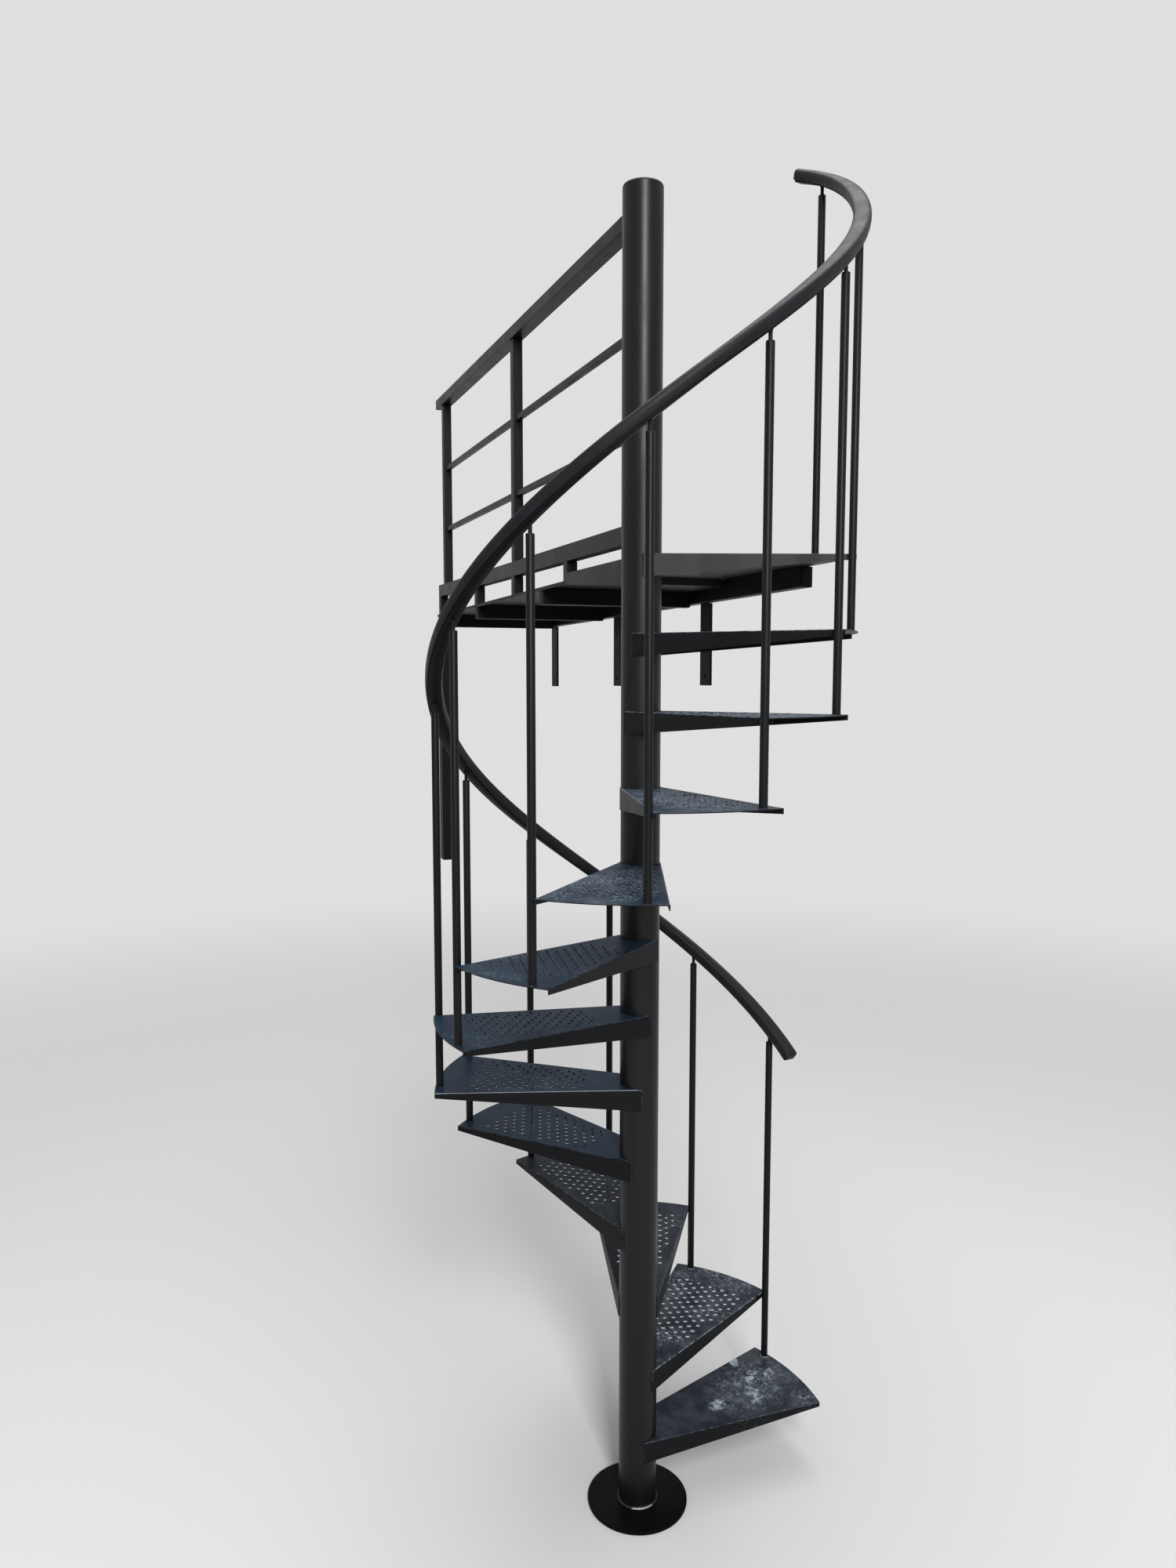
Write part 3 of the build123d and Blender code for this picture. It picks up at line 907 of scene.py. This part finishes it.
# Operators: one for each piece or group of like pieces, and one for the stage
class STAIR_OT_column(bpy.types.Operator):
    """Builds the column, its cap, the base plate and the welds on them"""

    bl_idname = "stair.column"
    bl_label = "Column and base"

    def execute(self, context):
        self.build_tube(sizes().column_radius)
        self.build_cap(sizes().column_radius)
        self.build_base()
        self.build_welds()
        return {"FINISHED"}

    def build_tube(self, r):
        low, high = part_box("column")
        inner = r - sizes().column_wall
        bm = bmesh.new()
        lathe(bm, [(inner, low[2]), (r, low[2]), (r, high[2]), (inner, high[2])], COLUMN_SIDES, capped=False)
        finish_piece(bm, "column_tube", "column", ("column",))

    def build_cap(self, r):
        low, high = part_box("column_cap")
        seat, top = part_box("column")[1][2], high[2]
        neck = r - 4 * MM
        under = seat + 0.1 * MM
        rounding = top - seat - 1 * MM
        turns = even_steps(0.0, math.pi / 2, CAP_STEPS)[1:]
        bm = bmesh.new()
        lathe(bm, [
            (neck, low[2]), (neck, under), (r - 0.3 * MM, under), (r - 0.1 * MM, seat + 1 * MM),
            *((r - rounding * (1 - math.cos(a)), top - rounding * (1 - math.sin(a)) - 0.4 * MM) for a in turns),
            (r * 0.45, top - 0.05 * MM), (2 * MM, top),
        ], COLUMN_SIDES)
        finish_piece(bm, "column_cap_dome", "column", ("column_cap",))

    def build_base(self):
        low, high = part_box("base_plate")
        r, bottom, top = high[0], low[2], high[2]
        edge, hole = 1.2 * MM, sizes().anchor_hole
        anchors = [around(sizes().anchor_circle, math.radians(angle)) for angle in (45, 135, 225, 315)]
        rim = (
            (r - 3 * edge, top), (r - edge, top), (r - 0.3 * edge, top - 0.3 * edge), (r, top - edge),
            (r, bottom + edge), (r - edge, bottom), (r - 3 * edge, bottom))
        bore = ((hole + 2 * edge, top), (hole + edge, top), (hole, top - edge), (hole, bottom))
        bm = bmesh.new()
        walls = [[ring_of(bm, (0, 0), radius, z, PLATE_SIDES) for radius, z in rim]]
        walls += [[ring_of(bm, place, radius, z, ANCHOR_SIDES) for radius, z in bore] for place in anchors]
        for rings in walls:
            join_rings(bm, rings)
        for level in (0, -1):
            fill_between(bm, [rings[level] for rings in walls])
        finish_piece(bm, "base_plate_disc", "base plate", ("base_plate",))
        bm = bmesh.new()
        for place in anchors:
            self.add_anchor_head(bm, place, top, hole - 0.4 * MM)
        finish_piece(bm, "anchor_heads", "base plate")

    def add_anchor_head(self, bm, centre, top, head):
        """Screw head sunk into its hole, with a round socket"""
        z = top - 0.3 * MM
        socket = 3.0 * MM
        lathe(bm, [
            (head, top - 6 * MM), (head, z - 0.4 * MM), (head - 0.4 * MM, z),
            (socket + 0.4 * MM, z), (socket, z - 0.3 * MM), (socket, z - 3.5 * MM),
        ], ANCHOR_SIDES, centre)

    def build_welds(self):
        bm = bmesh.new()
        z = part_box("base_plate")[1][2] + 1.2 * MM
        path = circle_path((0, 0), sizes().column_radius + 1.6 * MM, z, count=260)
        build_bead(bm, path, 3.6 * MM, seed=3)
        finish_piece(bm, "column_foot_weld", "foot weld")
        bm = bmesh.new()
        for step in range(1, TREAD_COUNT + 2):
            for sign in (-1, 1) if step <= TREAD_COUNT else (-1,):
                self.add_seat_welds(bm, TreadShape(), step, sign)
        finish_piece(bm, "tread_welds", "painted weld")

    def add_seat_welds(self, bm, shape, step, sign):
        """A bead down the end of a folded side, and a short one from there along the plate's top"""
        middle, top = tread_turn(step), sizes().riser * step
        foot = shape.half + shape.turn
        place = around(shape.seat + 0.8 * MM, middle + sign * (foot + UPRIGHT_PAST_FOOT))
        low, high = top - shape.deep + 1 * MM, top - 2 * MM
        upright = [(*place, z) for z in even_steps(low, high, UPRIGHT_STEPS)]
        build_bead(bm, upright, 1.9 * MM, seed=10 + step * 2 + sign, closed=False)
        start, end = (middle + sign * (foot - back) for back in LEVEL_BACK_FROM_FOOT)
        level = circle_path((0, 0), shape.seat + 0.5 * MM, top + 0.3 * MM, LEVEL_POINTS, start, end)
        build_bead(bm, level, 1.6 * MM, seed=60 + step * 2 + sign, closed=False)


class STAIR_OT_treads(bpy.types.Operator):
    """Builds the folded treads with their punched fields"""

    bl_idname = "stair.treads"
    bl_label = "Treads"

    def execute(self, context):
        for step in range(1, TREAD_COUNT + 1):
            build_tread(step, TREAD_FINISHES.get(step, "dusty tread" if step >= DUSTY_FROM else "tread"))
        return {"FINISHED"}


class STAIR_OT_balusters(bpy.types.Operator):
    """Builds the balusters with their pins and foot welds"""

    bl_idname = "stair.balusters"
    bl_label = "Balusters"

    def execute(self, context):
        bare, painted = bmesh.new(), bmesh.new()
        for step in range(1, TREAD_COUNT + 2):
            name = f"baluster_{step:02d}"
            low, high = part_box(name)
            centre, r = centre_of(name).xy, (high[0] - low[0]) / 2
            self.build_baluster(name, centre, r, low[2], rail_point(step).z)
            path = circle_path(centre, r + 0.5 * MM, low[2] + 0.5 * MM, count=60)
            build_bead(bare if step <= 2 else painted, path, 1.9 * MM, seed=100 + step)
        finish_piece(bare, "lower_baluster_welds", "weld")
        finish_piece(painted, "baluster_welds", "painted weld")
        return {"FINISHED"}

    def build_baluster(self, name, centre, r, foot, rail_z):
        """A tube with a chamfered top and a pin whose collar meets the flat bar"""
        tube_top = rail_z - sizes().pin_length
        pin = sizes().pin_radius
        pin_top = rail_z + 2 * MM
        edge = 1.4 * MM
        fillet = 1.2 * MM
        bm = bmesh.new()
        lathe(bm, [
            (r, foot), (r, tube_top - edge * 1.6), (r - edge * 0.3, tube_top - edge * 0.7),
            (r - edge, tube_top - edge * 0.15), (r - edge * 1.8, tube_top),
            (pin + fillet, tube_top), (pin, tube_top + fillet), (pin, pin_top - 7 * MM),
            (pin + 0.5 * MM, pin_top - 5 * MM), (pin + 1.6 * MM, pin_top - 1 * MM),
        ], BALUSTER_SIDES, centre)
        finish_piece(bm, f"{name}_tube", "black", (name,), sharp=32.0)


class STAIR_OT_handrail(bpy.types.Operator):
    """Builds the flat bar and the grip that winds up over it"""

    bl_idname = "stair.handrail"
    bl_label = "Handrail"

    def execute(self, context):
        rail = context.scene.stair_rail
        one_step = (rail_point(2) - rail_point(1)).length
        bm = bmesh.new()
        stations = self.grip_stations(rail, rail.end_rounding / one_step)
        rings = [rail_ring(bm, step, self.grip_outline(rail, scale)) for step, scale in stations]
        join_rings(bm, rings, capped=True)
        finish_piece(bm, "handrail_grip", "grip", ("handrail",), sharp=50.0)
        bm = bmesh.new()
        inset = rail.bar_inset / one_step
        steps = even_steps(rail.start_step + inset, rail.end_step - inset, BAR_STEPS)
        join_rings(bm, [rail_ring(bm, step, self.bar_outline(rail)) for step in steps], capped=True)
        finish_piece(bm, "handrail_bar_flat", "matt black", ("handrail_bar",), sharp=50.0)
        return {"FINISHED"}

    def bar_outline(self, rail):
        half, high, edge = rail.bar_half_width, rail.bar_height, 0.8 * MM
        corners = ((half - edge, 0), (half, edge), (half, high - edge), (half - edge, high))
        return [*corners, *((-x, z) for x, z in reversed(corners))]

    def grip_stations(self, rail, reach):
        """Steps along the grip, closer together at its rounded ends, each with the section's scale"""
        ends = [(reach * (1 - math.cos(a)), math.sin(a)) for a in even_steps(0.0, math.pi / 2, END_STEPS)]
        inner = even_steps(rail.start_step + reach, rail.end_step - reach, GRIP_STEPS)[1:-1]
        return [
            *((rail.start_step + offset, scale) for offset, scale in ends),
            *((step, 1.0) for step in inner),
            *((rail.end_step - offset, scale) for offset, scale in reversed(ends)),
        ]

    def grip_outline(self, rail, scale):
        """A rounded back, and under it two lips that reach down beside the flat bar"""
        under = rail.bar_height + rail.grip_gap
        middle = under + rail.grip_height / 2
        shrink = rail.end_rounding * (1 - scale)
        half_w = rail.grip_half_width - shrink
        half_h = rail.grip_height / 2 - shrink * 0.8
        lip = under - rail.lip_drop * scale
        slot = min(rail.bar_half_width + 0.6 * MM, half_w * 0.7)
        side = []
        for turn in even_steps(math.pi / 2, -UNDERCUT, BACK_STEPS):
            power = UPPER_POWER if turn > 0 else LOWER_POWER
            rise = math.copysign(abs(math.sin(turn)) ** power, turn) * half_h
            side.append((math.cos(turn) ** WIDTH_POWER * half_w, middle + rise))
        x, z = side[-1]
        side += [
            (x - 0.7 * MM, z * 0.55 + lip * 0.45), (slot + 3.4 * MM, lip + 0.6 * MM), (slot + 2.2 * MM, lip),
            (slot + 0.8 * MM, lip), (slot, lip + 0.8 * MM), (slot, under - 0.3 * MM), (slot * 0.5, under),
        ]
        return side + [(-x, z) for x, z in reversed(side[1:])]


class STAIR_OT_landing(bpy.types.Operator):
    """Builds the landing plate and the walkway behind it"""

    bl_idname = "stair.landing"
    bl_label = "Landing and walkway"

    def execute(self, context):
        for name, finish in (("landing_plate", "landing"), ("walkway_deck", "deck")):
            rounded_copy(name, f"{name}_folded", finish, 0.7 * MM, 2)
        for name in ("wall_beam", "joists", "end_beam", "support_post"):
            rounded_copy(name, f"{name}_rolled", "matt black", 3 * MM)
        rounded_copy("wall_legs", "wall_legs_flat", "matt black", 0.8 * MM, 2)
        return {"FINISHED"}


class STAIR_OT_guard(bpy.types.Operator):
    """Builds the guard rail along the open side of the walkway"""

    bl_idname = "stair.guard"
    bl_label = "Guard rail"

    def execute(self, context):
        for name in ("guard_top_rail", "guard_bottom_rail", "guard_posts", "guard_stubs"):
            rounded_copy(name, f"{name}_tube", "black", 2.5 * MM)
        for name in ("guard_bar_lower", "guard_bar_upper"):
            rounded_copy(name, f"{name}_tube", "black", 1.5 * MM)
        return {"FINISHED"}


# Strength of the light from all round, and of the white backdrop that shows instead of it
SOFT_LIGHT_LEVEL = 0.5
BACKDROP_LEVEL = 0.74

# Lamps: name, place, what they face, width, height and power
LAMPS = (
    ("sky_panel", (0.3, 1.0, 8.5), (0.0, 0.3, 1.8), 5.0, 5.0, 300),
    ("front_panel", (-1.4, -6.6, 5.8), (0.0, 0.0, 2.8), 1.5, 4.0, 590),
)


class STAIR_OT_stage(bpy.types.Operator):
    """Builds the floor, the backdrop, the lamps and the camera"""

    bl_idname = "stair.stage"
    bl_label = "Stage"

    def execute(self, context):
        stage = context.scene.stair_stage
        self.build_floor(stage)
        self.build_world(context.scene)
        for lamp in LAMPS:
            self.add_lamp(*lamp)
        self.build_camera(context.scene, stage)
        context.scene.view_settings.view_transform = "Standard"
        return {"FINISHED"}

    def build_floor(self, stage):
        bm = bmesh.new()
        bmesh.ops.create_circle(bm, cap_ends=True, segments=PLATE_SIDES, radius=stage.floor_radius)
        mesh = bpy.data.meshes.new("floor")
        bm.to_mesh(mesh)
        bm.free()
        mesh.materials.append(self.floor_material(stage))
        floor = add_object("floor", mesh)

    def floor_material(self, stage):
        """Pale floor that fades into the white backdrop, and lights the undersides more dimly than it shows"""
        material, tree, shader = new_material("floor")
        set_inputs(shader, Base_Color=(*finish_of().floor, 1.0), Roughness=0.8, Specular_IOR_Level=0.2)
        distance = vector_maths(tree, "LENGTH", object_place(tree))
        fade = ramp(tree, distance, stage.floor_fade_start, stage.floor_fade_end)
        white = white_light(tree, "ShaderNodeEmission", BACKDROP_LEVEL)
        shown = shader_mix(tree, fade, shader.outputs["BSDF"], white)
        dim = set_inputs(add_node(tree, "ShaderNodeBsdfDiffuse"), Color=(*stage.floor_bounce, 1.0))
        chosen = shader_mix(tree, seen_mask(tree), dim.outputs["BSDF"], shown)
        output = next(node for node in tree.nodes if node.type == "OUTPUT_MATERIAL")
        tree.links.new(chosen, output.inputs["Surface"])
        return material

    def build_world(self, scene):
        """Soft light from all round; seen directly and in gloss it is the white backdrop"""
        world = bpy.data.worlds.new("soft light")
        scene.world = world
        world.use_nodes = True
        tree = world.node_tree
        tree.nodes.clear()
        light = white_light(tree, "ShaderNodeBackground", SOFT_LIGHT_LEVEL)
        seen = white_light(tree, "ShaderNodeBackground", BACKDROP_LEVEL)
        output = add_node(tree, "ShaderNodeOutputWorld")
        tree.links.new(shader_mix(tree, seen_mask(tree), light, seen), output.inputs["Surface"])

    def add_lamp(self, name, place, target, width, height, power):
        data = bpy.data.lights.new(name, "AREA")
        data.shape = "RECTANGLE"
        data.size = width
        data.size_y = height
        data.energy = power
        lamp = add_object(name, data)
        lamp.location = place
        lamp.rotation_euler = (Vector(target) - Vector(place)).to_track_quat("-Z", "Y").to_euler()

    def build_camera(self, scene, stage):
        data = bpy.data.cameras.new("camera")
        data.sensor_fit = "HORIZONTAL"
        data.sensor_width = 36.0
        data.lens = stage.lens
        data.clip_start = 0.05
        data.clip_end = 500
        camera = add_object("camera", data)
        camera.location = stage.camera_place
        camera.rotation_euler = (math.radians(90) - stage.camera_tilt, 0.0, stage.camera_turn)
        scene.camera = camera


class STAIR_PT_panel(bpy.types.Panel):
    """Lists the steps that dress the staircase, and the values that they use"""

    bl_label = "Spiral staircase"
    bl_idname = "STAIR_PT_panel"
    bl_space_type = "VIEW_3D"
    bl_region_type = "UI"
    bl_category = "Stair"

    def draw(self, context):
        for operator in OPERATORS:
            self.layout.operator(operator.bl_idname)
        for name, group in GROUPS.items():
            box = self.layout.box()
            for value in group.__annotations__:
                box.prop(getattr(context.scene, name), value)


OPERATORS = (
    STAIR_OT_stage,
    STAIR_OT_column,
    STAIR_OT_treads,
    STAIR_OT_balusters,
    STAIR_OT_handrail,
    STAIR_OT_landing,
    STAIR_OT_guard,
)
GROUPS = {
    "stair_sizes": StairSizes,
    "stair_perforation": PerforationSizes,
    "stair_rail": RailSizes,
    "stair_finish": StairFinish,
    "stair_stage": StageSizes,
}


def register():
    for group in GROUPS.values():
        bpy.utils.register_class(group)
    for name, group in GROUPS.items():
        setattr(bpy.types.Scene, name, PointerProperty(type=group))
    for operator in OPERATORS:
        bpy.utils.register_class(operator)
    bpy.utils.register_class(STAIR_PT_panel)


def unregister():
    bpy.utils.unregister_class(STAIR_PT_panel)
    for operator in reversed(OPERATORS):
        bpy.utils.unregister_class(operator)
    for name in GROUPS:
        delattr(bpy.types.Scene, name)
    for group in GROUPS.values():
        bpy.utils.unregister_class(group)


def main():
    register()
    bpy.ops.stair.stage()
    bpy.ops.stair.column()
    bpy.ops.stair.treads()
    bpy.ops.stair.balusters()
    bpy.ops.stair.handrail()
    bpy.ops.stair.landing()
    bpy.ops.stair.guard()
    bpy.context.view_layer.update()


if __name__ == "__main__":
    main()
